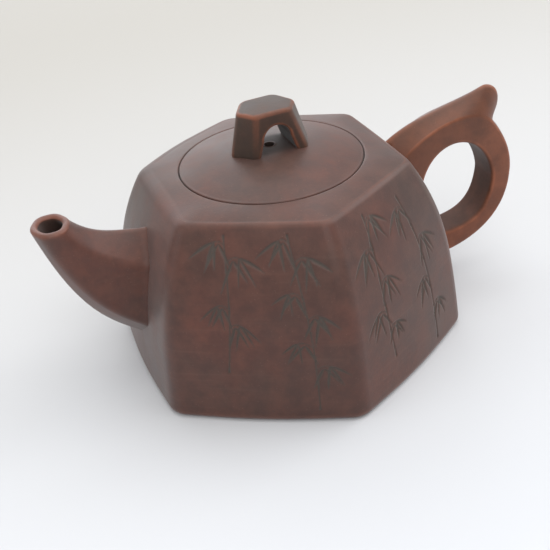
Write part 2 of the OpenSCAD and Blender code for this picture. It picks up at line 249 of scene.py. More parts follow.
def mark_worn_edges(piece: bpy.types.Object, low: float, high: float,
                    kept: np.ndarray | float = 1.0) -> None:
    """Store in "worn" how sharply each vertex's surface bends outwards.

    Along an edge of the mesh the bend is the change of normal along the edge, over its length. The
    largest bend of a vertex's edges counts, and it is then averaged with its neighbours.

    Args:
        piece: The piece to mark.
        low: Bend, per millimetre, at which wear begins.
        high: Bend, per millimetre, at which it is complete.
        kept: Share of the wear that each vertex keeps.
    """
    mesh = piece.data
    points = vertex_places(mesh)
    count = len(points)
    normals = np.empty(count * 3, np.float32)
    mesh.vertex_normals.foreach_get("vector", normals)
    normals = normals.reshape(-1, 3)
    edges = np.empty(len(mesh.edges) * 2, np.int32)
    mesh.edges.foreach_get("vertices", edges)
    a, b = edges.reshape(-1, 2).T
    way = points[b] - points[a]
    square = np.maximum((way**2).sum(axis=1), 1e-6)
    bend = np.einsum("ij,ij->i", normals[b] - normals[a], way) / square
    worn = np.zeros(count)
    np.maximum.at(worn, a, bend)
    np.maximum.at(worn, b, bend)
    ties = np.bincount(a, minlength=count) + np.bincount(b, minlength=count)
    for _ in range(3):
        around = np.bincount(a, worn[b], count) + np.bincount(b, worn[a], count)
        worn = 0.5 * worn + 0.5 * around / np.maximum(ties, 1)
    set_attribute(piece, "worn", smoothstep(low, high, worn) * kept)


def cut_away(piece: bpy.types.Object, cutters: list[bpy.types.Object], solver: str) -> None:
    """Add a modifier to the piece for each cutter, which takes the cutter's shape out of it."""
    for cutter in cutters:
        cut = piece.modifiers.new(cutter.name, "BOOLEAN")
        cut.operation, cut.object, cut.solver = "DIFFERENCE", cutter, solver


def settle(piece: bpy.types.Object, name: str, cutters: list[bpy.types.Object]) -> None:
    """Turn a piece's modifiers into plain mesh, name it and throw its cutters away."""
    settled = piece.evaluated_get(bpy.context.evaluated_depsgraph_get())
    mesh = bpy.data.meshes.new_from_object(settled)
    piece.modifiers.clear()
    piece.data = mesh
    piece.name = mesh.name = name
    mesh.polygons.foreach_set("use_smooth", np.ones(len(mesh.polygons), bool))
    for cutter in cutters:
        bpy.data.objects.remove(cutter)


# ---- Shader graphs ----


@dataclass(frozen=True)
class Value:
    """One number in a material's graph; arithmetic on it adds Math nodes."""

    graph: "Graph"
    socket: bpy.types.NodeSocket

    def _math(self, operation: str, first: object, second: object) -> "Value":
        """Add one Math node and return its result."""
        return self.graph.node("ShaderNodeMath", {"operation": operation}, {0: first, 1: second})

    def __add__(self, other: object) -> "Value":
        """Return self + other."""
        return self._math("ADD", self, other)

    def __radd__(self, other: object) -> "Value":
        """Return other + self."""
        return self._math("ADD", other, self)

    def __sub__(self, other: object) -> "Value":
        """Return self - other."""
        return self._math("SUBTRACT", self, other)

    def __rsub__(self, other: object) -> "Value":
        """Return other - self."""
        return self._math("SUBTRACT", other, self)

    def __mul__(self, other: object) -> "Value":
        """Return self * other."""
        return self._math("MULTIPLY", self, other)

    def __rmul__(self, other: object) -> "Value":
        """Return other * self."""
        return self._math("MULTIPLY", other, self)


class Graph:
    """A material's node graph, filled through one method for every kind of node."""

    def __init__(self, name: str) -> None:
        """Make a material with an empty graph."""
        self.material = bpy.data.materials.new(name)
        self.material.use_nodes = True
        self.tree = self.material.node_tree
        self.tree.nodes.clear()

    def node(self, kind: str, settings: dict | None = None, inputs: dict | None = None,
             out: int | str = 0) -> Value:
        """Add one node.

        Args:
            kind: The node's type.
            settings: Its settings, set first; "stops" holds a ramp's (place, grey level) pairs.
            inputs: Values or links, by socket name or number.
            out: Which of its outputs to return.

        Returns:
            The chosen output.
        """
        made = self.tree.nodes.new(kind)
        for key, value in (settings or {}).items():
            if key == "stops":
                self._set_stops(made.color_ramp, value)
            else:
                setattr(made, key, value)
        for key, value in (inputs or {}).items():
            if isinstance(value, Value):
                self.tree.links.new(value.socket, made.inputs[key])
            elif isinstance(value, tuple) and made.inputs[key].type == "RGBA":
                made.inputs[key].default_value = (*value, 1.0)
            else:
                made.inputs[key].default_value = value
        return Value(self, made.outputs[out]) if made.outputs else Value(self, None)

    @staticmethod
    def _set_stops(ramp: bpy.types.ColorRamp, stops: list[tuple[float, float]]) -> None:
        """Give a ramp its stops; each is a place and a grey level."""
        while len(ramp.elements) < len(stops):
            ramp.elements.new(0.5)
        for element, (place, level) in zip(ramp.elements, stops):
            element.position = place
            element.color = (level, level, level, 1.0)

    def blend(self, share: object, a: object, b: object, way: str = "MIX") -> Value:
        """Mix two colours, each a Value or a colour."""
        settings = {"data_type": "RGBA", "blend_type": way}
        return self.node("ShaderNodeMix", settings, {0: share, 6: a, 7: b}, out=2)

    def ramp(self, value: Value, low: float, high: float) -> Value:
        """Stretch a number so that low becomes 0 and high becomes 1, with a soft start and end."""
        settings = {"stops": [(low, 0.0), (high, 1.0)]}
        made = self.node("ShaderNodeValToRGB", settings, {0: value})
        made.socket.node.color_ramp.interpolation = "EASE"
        return made

    def noise(self, place: Value, scale: float, detail: float = 3.0, rough: float = 0.55) -> Value:
        """Cloudy noise with about scale blotches to the metre."""
        return self.node("ShaderNodeTexNoise", {}, {
            "Vector": place, "Scale": scale, "Detail": detail, "Roughness": rough
        })

    def moved(self, place: Value, shift: Point, stretch: Point = (1, 1, 1)) -> Value:
        """Object coordinates moved and stretched, so that patterns differ."""
        return self.node("ShaderNodeMapping", {}, {
            "Vector": place, "Location": Vector(shift), "Scale": Vector(stretch)
        })


@dataclass(frozen=True)
class UnglazedClay:
    """Burnished, unglazed stoneware: mottled, faintly sandy, worn to a redder tone on its edges.

    A scale is a pattern's number of blotches to the metre.
    """

    name: str
    base: Colour = (0.070, 0.027, 0.018)
    red: Colour = (0.108, 0.031, 0.018)
    grey: Colour = (0.054, 0.030, 0.022)
    worn: Colour = (0.240, 0.080, 0.045)
    ink: Colour = (0.060, 0.050, 0.041)
    sand: Colour = (0.260, 0.150, 0.105)
    iron: Colour = (0.030, 0.022, 0.020)
    # Near-black tone for the painted shade in recesses.
    shade_tone: Colour = (0.020, 0.016, 0.013)
    warmth: float = 0.6
    wear: float = 0.75
    roughness: float = 0.42
    polish: float = 0.45
    dust: float = 0.16
    dust_roughness: float = 0.45
    cloud_scale: float = 22.0
    ash_scale: float = 19.0
    patch_scale: float = 90.0
    mottle_scale: float = 150.0
    mark_scales: Point = (30.0, 30.0, 700.0)
    speck_scale: float = 420.0
    grain_scale: float = 820.0
    pore_scale: float = 1700.0
    bump_height: float = 0.00022
    bump_strength: float = 0.35

    def build(self) -> bpy.types.Material:
        """Make the material.

        Returns:
            A material whose colour, roughness and bump follow Object coordinates and the "worn" and
            "ink" attributes, and whose colour and roughness take painted shade from a third
            attribute.
        """
        g = Graph(self.name)
        place = g.node("ShaderNodeTexCoord", out="Object")
        worn = g.node("ShaderNodeAttribute", {"attribute_name": "worn"}, out="Fac")
        ink = g.node("ShaderNodeAttribute", {"attribute_name": "ink"}, out="Fac")
        painted_shade = g.node("ShaderNodeAttribute", {"attribute_name": "painted_shade"}, out="Fac")

        # Broad firing clouds, half a hand wide, then finer ones that break them up.
        clouds = g.ramp(g.noise(place, self.cloud_scale, 4.0, 0.6), 0.38, 0.62)
        ash_place = g.moved(place, (0.31, 0.12, 0.07))
        ash = g.ramp(g.noise(ash_place, self.ash_scale, 4.0, 0.6), 0.42, 0.70)
        mottle = g.noise(g.moved(place, (0.05, 0.4, 0.2)), self.mottle_scale, 4.0, 0.65)
        colour = g.blend(clouds * self.warmth, self.base, self.red)
        colour = g.blend(ash * 0.6, colour, self.grey)
        shade = g.blend(g.ramp(mottle, 0.3, 0.72), (0.80, 0.80, 0.81), (1.18, 1.17, 1.15))
        colour = g.blend(1.0, colour, shade, "MULTIPLY")

        # Fine burnishing marks run round the pot; sand grains show as pale and dark specks.
        marks = g.noise(g.moved(place, (0, 0, 0), self.mark_scales), 1.0, 2.0)
        colour = g.blend(g.ramp(marks, 0.55, 0.8) * 0.05, colour, self.sand)
        cells = {"Vector": place, "Scale": self.grain_scale}
        grain = g.node("ShaderNodeTexVoronoi", {}, cells, "Distance")
        pick = g.noise(place, self.speck_scale, 1.0)
        pale = (1 - g.ramp(grain, 0.10, 0.24)) * g.ramp(pick, 0.52, 0.6)
        dark = (1 - g.ramp(grain, 0.08, 0.22)) * (1 - g.ramp(pick, 0.36, 0.42))
        colour = g.blend(pale * 0.14, colour, self.sand)
        colour = g.blend(dark * 0.45, colour, self.iron)

        # Handling rubs the edges back to redder clay, in patches. The incised lines stay matt and
        # dark.
        patch_place = g.moved(place, (0.2, 0.1, 0.3))
        patches = g.ramp(g.noise(patch_place, self.patch_scale, 4.0, 0.6), 0.34, 0.62)
        rubbed = worn * (0.35 + 0.65 * patches) * self.wear
        colour = g.blend(rubbed, colour, self.worn)
        colour = g.blend(ink * 0.9, colour, self.ink)
        # Painted shade: recesses, where shade falls, are darkened towards a near-black tone and
        # made rougher.
        shade_share = painted_shade * (0.6 + 0.4 * g.ramp(mottle, 0.3, 0.7))
        colour = g.blend(shade_share, colour, self.shade_tone)

        roughness = (self.roughness + 0.16 * (mottle - 0.5) + 0.10 * clouds - 0.06 * rubbed
                     + 0.3 * ink + 0.3 * painted_shade)
        pores = g.noise(place, self.pore_scale, 3.0, 0.6)
        height = pores * 0.35 + mottle * 0.5 + marks * 0.3 - grain * 0.12
        bump = g.node("ShaderNodeBump", {}, {
            "Height": height, "Strength": self.bump_strength, "Distance": self.bump_height
        })
        shader = g.node("ShaderNodeBsdfPrincipled", {}, {
            "Base Color": colour, "Roughness": roughness, "Normal": bump,
            "Specular IOR Level": self.polish, "Sheen Weight": self.dust,
            "Sheen Roughness": self.dust_roughness
        })
        g.node("ShaderNodeOutputMaterial", {}, {"Surface": shader})
        return g.material


def dress(piece: bpy.types.Object, material: bpy.types.Material, rider: Rider,
          nodes: tuple[str, ...] = ()) -> None:
    """Give a finished piece its material and its body, and hide the CAD nodes it stands for."""
    piece.data.materials.append(material)
    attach(piece, rider.value)
    if nodes:
        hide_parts(*nodes)
    LOG.info("%s: %d vertices, rides on %s", piece.name, len(piece.data.vertices), rider.value)


# ---- Incised bamboo ----


@dataclass(frozen=True)
class Stroke:
    """One cut line on a flat side: points [across, height] and the line's half width at each."""

    line: np.ndarray
    half_width: np.ndarray

    def gap_from(self, across: np.ndarray, height: np.ndarray) -> np.ndarray:
        """How far each point lies outside the stroke's edge; negative inside.

        The distance is the smallest one to the line's straight pieces, less the half width there.

        Args:
            across: Points' places across the side.
            height: Points' heights.

        Returns:
            Array of the points' distances, in millimetres.
        """
        a, b = self.line[:-1], self.line[1:]
        way = b - a
        dx, dz = across[:, None] - a[:, 0], height[:, None] - a[:, 1]
        t = np.clip((dx * way[:, 0] + dz * way[:, 1]) / (way**2).sum(axis=1), 0, 1)
        gap = np.hypot(dx - t * way[:, 0], dz - t * way[:, 1])
        return (gap - mix(self.half_width[:-1], self.half_width[1:], t)).min(axis=1)


@dataclass(frozen=True)
class Cane:
    """One stem of bamboo: where it starts and ends, how it bows, and its twigs.

    A spray is a twig's place along the stem, its reach sideways and the length of its leaves. A
    leaf is its place along the twig and its lean outwards in degrees.
    """

    foot: tuple[float, float]
    top: tuple[float, float]
    bow: float
    joints: int
    sprays: tuple[tuple[float, float, float], ...]
    joint_gap: float = 0.008
    stem_half_w: float = 0.20
    knuckle: float = 0.20
    twig_half_w: float = 0.14
    twig_rise: float = 0.35
    twig_bow: float = 0.8
    leaves: tuple[Range, ...] = ((1.0, 62), (1.0, 28), (1.0, -6), (0.55, 40), (0.55, -30))

    def point(self, t: np.ndarray) -> np.ndarray:
        """Point of the stem: the straight line from foot to top, bowed sideways by half a sine."""
        line = mix(np.array(self.foot), np.array(self.top), np.asarray(t)[..., None])
        line[..., 0] += self.bow * np.sin(np.pi * np.asarray(t))
        return line

    def strokes(self, rng: np.random.Generator) -> list[Stroke]:
        """Cut the stem joint by joint, then its twigs and leaves.

        Args:
            rng: Seeded source of the small differences between leaves.

        Returns:
            Every stroke of this stem.
        """
        cuts = np.linspace(0, 1, self.joints + 1)
        t = np.linspace(0, 1, 9)
        half_width = self.stem_half_w + self.knuckle * np.abs(2 * t - 1) ** 5
        made = []
        for low, high in zip(cuts[:-1], cuts[1:]):
            joint = self.point(mix(low + self.joint_gap, high - self.joint_gap, t))
            made.append(Stroke(joint, half_width))
        for place, reach, size in self.sprays:
            made += self._spray(self.point(np.array(place)), reach, size, rng)
        return made

    def _spray(self, root: np.ndarray, reach: float, size: float,
               rng: np.random.Generator) -> list[Stroke]:
        """Cut a twig that leaves the stem sideways, and the leaves on its end and middle.

        Args:
            root: Where the twig leaves the stem.
            reach: How far it goes sideways; negative to the left.
            size: Length of its leaves.
            rng: Seeded source of the small differences between leaves.

        Returns:
            The twig's strokes.
        """
        t = np.linspace(0, 1, 8)[:, None]
        tip = root + np.array([reach, abs(reach) * self.twig_rise])
        twig = root + (tip - root) * t + np.array([0, self.twig_bow]) * np.sin(np.pi * t)
        made = [Stroke(twig, np.full(len(t), self.twig_half_w))]
        outward = math.copysign(1, reach)
        for place, lean in self.leaves:
            length = size * rng.uniform(0.8, 1.15)
            angle = math.radians(-90 + outward * (lean + rng.uniform(-9, 9)))
            width = rng.uniform(0.28, 0.48)
            made.append(self._leaf(root + (tip - root) * place, angle, length, width))
        return made

    @staticmethod
    def _leaf(root: np.ndarray, angle: float, length: float, width: float) -> Stroke:
        """A pointed leaf: it swells from its root, tapers to its tip and droops on its way."""
        t = np.linspace(0, 1, 10)
        along = np.stack([math.cos(angle) * t, math.sin(angle) * t - 0.18 * t**2], axis=-1)
        return Stroke(root + along * length, width * np.sin(np.pi * t**0.7) + 0.06)


@dataclass(frozen=True)
class Engraving:
    """Bamboo cut into one side of the body.

    A range holds the distances from a stroke's edge, negative inside it, where an effect begins
    and where it is complete: the cut's sloping wall, its dark fill and the wear of the skin.
    """

    side: Side
    canes: tuple[Cane, ...]
    seed: int
    depth: float = 0.45
    wall: Range = (0.18, -0.32)
    fill: Range = (0.16, -0.16)
    wear: Range = (0.6, 2.0)

    def press(self, across: np.ndarray,
              height: np.ndarray) -> tuple[np.ndarray, np.ndarray, np.ndarray]:
        """Depth of the cut, strength of its dark fill and share of wear at points of the side.

        Args:
            across: Points' places across the side.
            height: Points' heights.

        Returns:
            The depth in millimetres, the fill from 0 to 1 and the share of edge wear that is kept
            from 0 to 1, one of each for every point.
        """
        rng = np.random.default_rng(self.seed)
        reach = self.wear[1]
        edge = np.full(len(across), 2 * reach)
        for cane in self.canes:
            for stroke in cane.strokes(rng):
                low, high = stroke.line.min(axis=0) - reach, stroke.line.max(axis=0) + reach
                near = (across > low[0]) & (across < high[0])
                near &= (height > low[1]) & (height < high[1])
                edge[near] = np.minimum(edge[near], stroke.gap_from(across[near], height[near]))
        depth = self.depth * smoothstep(*self.wall, edge)
        return depth, smoothstep(*self.fill, edge), smoothstep(*self.wear, edge)


# ---- Body ----


@dataclass
class Body:
    """The six-sided pot itself: plan, profile, shell and the carved sides.

    A wave of the skin is its count of turns, its pitch in height and its start, and the waves fade
    in over their run. A range holds where an effect begins and where it is complete: the bend of a
    worn edge per millimetre, the degrees over which the ridge turns crisp, and the distances from
    the mouth between which wear returns.
    """

    foot_corner_r: float = 67.9
    ridge_z: float = 70.0
    wall_lean: float = 5.6
    wall_turn: float = 12.9
    turn_power: float = 3.5
    bow_foot: float = 2.0
    bow_ridge: float = 0.34
    corner_soft: float = 3.2
    wall_t: float = 3.6
    base_t: float = 4.5
    base_edge_r: float = 3.0
    ridge_edge_r: float = 1.4
    ridge_soft_r: float = 3.6
    soft_towards: float = 150.0
    soft_spread: Range = (38.0, 78.0)
    rear_bulge: float = 2.3
    bulge_from_z: float = 25.0
    shoulder_t: float = 3.0
    shoulder_rise: float = 1.9
    mouth_r: float = 33.65
    mouth_edge_r: float = 0.45
    strainer_hole_r: float = 1.9
    strainer_pitch: float = 7.0
    strainer_z: float = 38.0
    wave_height: float = 0.033
    wave_run: float = 11.0
    waves: tuple[tuple[float, float, float], ...] = (
        (3.1, 9.0, 0.0), (5.3, -13.0, 1.0), (4.0, 6.5, 0.0)
    )
    worn_bend: Range = (0.12, 0.8)
    calm_rim: Range = (1.5, 3.0)
    fine_cells: int = 172
    coarse_cells: int = 22
    crowding: float = 1.8
    wall_rows: int = 168
    edge_rows: int = 9
    shoulder_rows: int = 15
    mouth_rows: int = 6
    inner_rows: int = 11
    engravings: tuple[Engraving, ...] = (
        Engraving(Side.FRONT, (
            Cane((-11.5, 20.0), (-10.0, 67.0), 1.5, 4, (
                (0.93, -3.5, 9.0), (0.82, 4.5, 9.0), (0.50, -4.0, 8.0), (0.36, 3.5, 8.0))),
            Cane((19.0, 5.0), (11.0, 67.0), 2.5, 6, (
                (0.95, -3.5, 8.5), (0.86, 4.5, 8.0), (0.68, -4.5, 8.0), (0.56, 4.0, 8.5),
                (0.40, -5.0, 8.0), (0.26, 4.5, 8.0))),
        ), 7),
        Engraving(Side.FRONT_RIGHT, (
            Cane((-13.0, 14.0), (-10.0, 66.0), -2.5, 5, (
                (0.94, 4.0, 8.5), (0.78, -4.0, 8.5), (0.55, 4.5, 8.0), (0.36, -4.5, 8.0),
                (0.22, 4.0, 7.0))),
            Cane((14.0, 5.0), (9.0, 64.0), 1.5, 5, (
                (0.92, -4.0, 8.0), (0.70, 4.0, 8.0), (0.45, -4.0, 8.0), (0.24, 4.0, 7.5))),
        ), 11),
    )

    def corner_r(self, z: np.ndarray) -> np.ndarray:
        """Corner radius at a height: it shrinks steadily, and by a late power besides."""
        h = np.maximum(z, 0) / self.ridge_z
        return self.foot_corner_r - self.wall_lean * h - self.wall_turn * h**self.turn_power

    def outline_r(self, a: np.ndarray, z: np.ndarray) -> np.ndarray:
        """Distance of the outline from the axis.

        A straight side gives corner_r * cos(30) / cos(a). A parabola adds the side's outward bow,
        and a second parabola near each corner takes the corner's point off.

        Args:
            a: Angles from the middle of a side, in degrees.
            z: Heights.

        Returns:
            Array of distances.
        """
        corner = self.corner_r(z)
        bow = self.bow_foot + (self.bow_ridge - self.bow_foot) * np.maximum(z, 0) / self.ridge_z
        slope = corner * math.tan(math.radians(HALF_TURN)) - 2 * bow * 180 / (math.pi * HALF_TURN)
        near = np.maximum(0, 1 - (HALF_TURN - np.abs(a)) / self.corner_soft)
        cut = slope * self.corner_soft * math.pi / 360 * near**2
        straight = corner * math.cos(math.radians(HALF_TURN)) / np.cos(np.radians(a))
        return straight + bow * (1 - (a / HALF_TURN) ** 2) - cut

    def roof_z(self, f: np.ndarray) -> np.ndarray:
        """Height of the shoulder a share f of the way from the ridge to the mouth."""
        return self.ridge_z + self.shoulder_rise * (f * (2 - f) + f) / 2

    @staticmethod
    def _turned(points: np.ndarray, side: Side) -> tuple[np.ndarray, np.ndarray]:
        """Each point's angle from a side's middle, up to its corners, and distance off the axis."""
        x, y = points[..., 0], points[..., 1]
        turn = math.radians(side.value)
        a = np.degrees(np.arctan2(y * math.cos(turn) - x * math.sin(turn),
                                  x * math.cos(turn) + y * math.sin(turn)))
        return np.clip(a, -HALF_TURN, HALF_TURN), np.hypot(x, y)

    def kept_out(self, points: np.ndarray, side: Side, depth: float) -> np.ndarray:
        """Points that lie deeper than depth under a side's skin, moved out to that depth.

        Args:
            points: Array (..., 3) near that side.
            side: The side they pass through.
            depth: Greatest depth below the skin.

        Returns:
            The points, each moved straight away from the axis where it was too deep.
        """
        a, r = self._turned(points, side)
        z = points[..., 2]
        skin = self.outline_r(a, np.minimum(z, self.ridge_z)) - depth
        under = z < self.ridge_z - 1
        grow = np.where(under, np.maximum(skin / np.maximum(r, 1), 1), 1)
        return np.stack([points[..., 0] * grow, points[..., 1] * grow, z], axis=-1)

    def skin_gap(self, points: np.ndarray, side: Side) -> np.ndarray:
        """Distance of points outside a side's skin, measured straight away from the axis."""
        a, r = self._turned(points, side)
        return r - self.outline_r(a, np.clip(points[..., 2], 0, self.ridge_z))

    def _angles(self) -> tuple[np.ndarray, np.ndarray]:
        """Angle of every column from its side's middle, and that middle's direction.

        Columns stand evenly on a carved side. Elsewhere they crowd towards the corners by a power.

        Returns:
            The angles and the directions, in degrees.
        """
        local, turns = [], []
        carved = {engraving.side for engraving in self.engravings}
        for side in Side:
            if side in carved:
                a = np.linspace(-HALF_TURN, HALF_TURN, self.fine_cells + 1)[:-1]
            else:
                u = np.linspace(-1, 1, self.coarse_cells + 1)[:-1]
                a = HALF_TURN * np.sign(u) * (1 - (1 - np.abs(u)) ** self.crowding)
            local.append(a)
            turns.append(np.full(len(a), float(side.value)))
        return np.concatenate(local), np.concatenate(turns)

    def _ridge_radius(self, direction: np.ndarray) -> np.ndarray:
        """Radius of the ridge: rubbed round near the spout and the rear left, crisp elsewhere."""
        off_soft = np.abs((direction - self.soft_towards + 180) % 360 - 180)
        return mix(self.ridge_soft_r, self.ridge_edge_r, smoothstep(*self.soft_spread, off_soft))

    def _bulge(self, a: np.ndarray, turns: np.ndarray, z: np.ndarray) -> np.ndarray:
        """How far the hand-pressed rear left side swells out, more and more up to its ridge."""
        swell = np.where(turns == Side.REAR_LEFT.value, self.rear_bulge, 0.0)
        return swell * (1 - (a / HALF_TURN) ** 2) * smoothstep(self.bulge_from_z, self.ridge_z, z)

    def _profile(self, a: np.ndarray, turns: np.ndarray) -> tuple[np.ndarray, np.ndarray, slice]:
        """Radius and height of every row, from the base's middle over the skin and back inside.

        Args:
            a: Angle of each column from its side's middle.
            turns: Direction of that middle.

        Returns:
            Radii (rows, columns), heights (rows, columns) and the slice of rows that are skin
            between the base's edge and the ridge.
        """
        radii: list[np.ndarray] = []
        heights: list[np.ndarray] = []

        def row(r: np.ndarray, z: float | np.ndarray) -> None:
            """Add one ring."""
            radii.append(r)
            heights.append(np.full(len(a), z) if np.isscalar(z) else z)

        foot = self.outline_r(a, 0.0) - self.base_edge_r
        for share in (0.2, 0.5, 0.8, 0.95):
            row(foot * share, 0.0)
        for step in np.radians(np.linspace(0, 90, self.edge_rows)):
            z = self.base_edge_r * (1 - math.cos(step))
            row(self.outline_r(a, z) - self.base_edge_r * (1 - math.sin(step)), z)
        start = len(radii)
        edge = self._ridge_radius(turns + a)
        for z in np.linspace(self.base_edge_r, self.ridge_z - edge, self.wall_rows)[1:]:
            row(self.outline_r(a, z) + self._bulge(a, turns, z), z)
        stop = len(radii)
        for step in np.radians(np.linspace(0, 90, self.edge_rows))[1:]:
            z = self.ridge_z + edge * (math.sin(step) - 1)
            row(self.outline_r(a, z) + self._bulge(a, turns, z) - edge * (1 - math.cos(step)), z)
        ridge = radii[-1]
        rim = self.mouth_r + self.mouth_edge_r
        for share in np.linspace(0, 1, self.shoulder_rows)[1:]:
            row(mix(ridge, rim, share), float(self.roof_z(share)))
        rim_z = float(self.roof_z(1.0))
        for step in np.radians(np.linspace(0, 90, self.mouth_rows))[1:]:
            row(np.full(len(a), rim - self.mouth_edge_r * math.sin(step)),
                rim_z - self.mouth_edge_r * (1 - math.cos(step)))
        join_z = self.ridge_z - self.shoulder_t
        row(np.full(len(a), self.mouth_r), join_z)
        inside = self.wall_t / np.cos(np.radians(a))
        row(mix(self.mouth_r, self.outline_r(a, join_z) - inside, 0.5), join_z)
        for z in np.linspace(join_z, self.base_t, self.inner_rows):
            row(self.outline_r(a, z) - inside, z)
        for share in (0.9, 0.5, 0.2):
            row((self.outline_r(a, self.base_t) - inside) * share, self.base_t)
        return np.array(radii), np.array(heights), slice(start, stop)

    def shell(self) -> bpy.types.Object:
        """Build the shell: base, six walls and shoulder in one closed skin, with its carving.

        Each column stands at one angle about the axis and each row follows the profile. The walls
        waver a little, as hand-beaten slabs do, by a sum of sines that fades towards the base and
        the ridge. The cuts are pressed into the skin, and the mouth's fine edge doesn't wear.

        Returns:
            The shell.
        """
        a, turns = self._angles()
        r, z, skin = self._profile(a, turns)
        theta = np.radians(turns + a)
        wave = sum(np.sin(times * theta + z / pitch + start) + 1
                   for times, pitch, start in self.waves)
        low, high, run = self.base_edge_r, self.ridge_z - 1, self.wave_run
        fade = smoothstep(low, low + run, z[skin]) * smoothstep(high, high - run, z[skin])
        r[skin] -= self.wave_height * wave[skin] * fade
        ink = np.zeros_like(r)
        kept = smoothstep(*self.calm_rim, r - self.mouth_r)
        for engraving in self.engravings:
            column = np.flatnonzero(turns == engraving.side.value)
            part = np.ix_(np.arange(skin.start, skin.stop), column)
            across = r[part] * np.sin(np.radians(a[column]))
            pressed = engraving.press(across.ravel(), z[part].ravel())
            depth, fill, calm = (share.reshape(across.shape) for share in pressed)
            r[part] -= depth
            ink[part] = fill
            kept[part] *= calm
        grid = np.stack([r * np.cos(theta), r * np.sin(theta), z], axis=-1)
        piece = surface("pot_shell", grid, Ends.POLES)
        mark_worn_edges(piece, *self.worn_bend, with_poles(kept))
        set_attribute(piece, "ink", with_poles(ink))
        drills = self._strainer_drills()
        cut_away(piece, drills, "EXACT")
        settle(piece, "pot_shell", drills)
        return piece

    def _strainer_drills(self) -> list[bpy.types.Object]:
        """Drills for the strainer behind the spout: one hole, and six round it in a ring."""
        skin = float(self.outline_r(np.zeros(1), np.array([self.strainer_z]))[0])
        turn = np.radians(np.linspace(0, 360, 32, endpoint=False))
        spread = np.radians(np.arange(0, 360, 60))
        across = np.concatenate([[0], self.strainer_pitch * np.sin(spread)])
        up = np.concatenate([[0], self.strainer_pitch * np.cos(spread)])
        past_skin, past_wall = -self.wall_t, 2.5 * self.wall_t
        drills = []
        for y, z in zip(across, up):
            ends = [np.stack([
                np.full(len(turn), -skin + depth), y + self.strainer_hole_r * np.cos(turn),
                self.strainer_z + z + self.strainer_hole_r * np.sin(turn),
            ], axis=-1) for depth in (past_skin, past_wall)]
            drills.append(surface("strainer_drill", np.array(ends), Ends.POLES))
        return drills


# ---- Spout ----


@dataclass
class Spout:
    """Six-cornered spout that rises from the spout side's wall to an open, rounded lip.

    The top and keel lines are curves, [distance out, height]. A share is a corner's place on the
    way from the top line to the keel; its range, and the corner cut's, go from root to mouth.
    """

    body: Body
    top: Curve = ((45, 58.2), (60, 61.6), (66.0, 61.3), (73.9, 68.7))
    keel: Curve = ((54, 13.5), (71.1, 24.1), (80.5, 34.6), (89.2, 68.7))
    upper_w: float = 11.2
    lower_w: float = 13.8
    mouth_w: float = 8.2
    upper_share: float = 0.24
    lower_share: Range = (0.80, 0.74)
    corner_cut: Range = (2.0, 4.2)
    clay_t: float = 2.9
    lip: float = 1.15
    root_depth: float = 2.2
    root_flare: float = 0.25
    flare_reach: float = 3.0
    worn_bend: Range = (0.12, 1.3)
    # Share of painted shade inside the spout.
    inner_shade: float = 0.8
    stations: int = 90
    corner_steps: int = 12

    def _rings(self, t: np.ndarray, inset: np.ndarray) -> np.ndarray:
        """Rings of the spout.

        The top line and the keel line are cubic curves. Two pairs of corners lie between them, at
        fixed shares of the way and at half widths that narrow towards the mouth. An inset moves
        all six in, and the corners soften towards the mouth.

        Args:
            t: Place of each ring, 0 at the root and 1 at the mouth.
            inset: Distance of each ring inside the outer skin.

        Returns:
            Array (rings, points, 3).
        """
        top, keel = bezier(self.top, t), bezier(self.keel, t)
        along = (keel - top) / np.linalg.norm(keel - top, axis=1)[:, None]
        a, b = top + along * inset[:, None], keel - along * inset[:, None]
        upper = mix(a, b, self.upper_share)
        lower = mix(a, b, mix(*self.lower_share, t)[:, None])
        wu = mix(self.upper_w, self.mouth_w, t) - inset
        wl = mix(self.lower_w, self.mouth_w, np.sqrt(t)) - inset
        zero = np.zeros_like(t)
        corners = np.stack([
            np.stack([-p[:, 0], w, p[:, 1]], axis=-1)
            for p, w in ((a, zero), (upper, wu), (lower, wl), (b, zero), (lower, -wl), (upper, -wu))
        ], axis=1)
        cut = mix(*self.corner_cut, t**2) + inset / 2
        return soft_rings(corners, cut[:, None], self.corner_steps)

    def build(self) -> bpy.types.Object:
        """Build the spout: out along the skin, round the lip and back along the inside.

        Returns:
            The spout, sunk a little into the wall, with a small flare where it meets it.
        """
        t = np.linspace(0, 1, self.stations)
        roll = np.radians(np.linspace(0, 180, 12))[1:-1]
        outer = self._rings(t, np.zeros_like(t))
        gap = self.body.skin_gap(outer, Side.SPOUT)
        flare = self.root_flare * smoothstep(self.flare_reach, 0.0, gap) ** 2
        centre = outer.mean(axis=1, keepdims=True)
        away = outer - centre
        away[..., 0] = 0
        outer = outer + away / np.linalg.norm(away, axis=-1, keepdims=True) * flare[..., None]
        lip = self._rings(np.ones_like(roll), self.clay_t / 2 * (1 - np.cos(roll)))
        lip[..., 2] += (self.lip * np.sin(roll))[:, None]
        inner = self._rings(t[::-2], np.full(len(t[::-2]), self.clay_t))
        grid = np.concatenate([outer, lip, inner])
        grid = self.body.kept_out(grid, Side.SPOUT, self.root_depth)
        piece = surface("spout_tube", grid, Ends.JOINED)
        mark_worn_edges(piece, *self.worn_bend)
        # Painted shade: the inside of the spout is darkened, as shade falls in it.
        painted_shade = np.zeros(grid.shape[:2])
        painted_shade[len(outer) + len(lip):] = self.inner_shade
        set_attribute(piece, "painted_shade", painted_shade.ravel())
        return piece


# ---- Handle ----


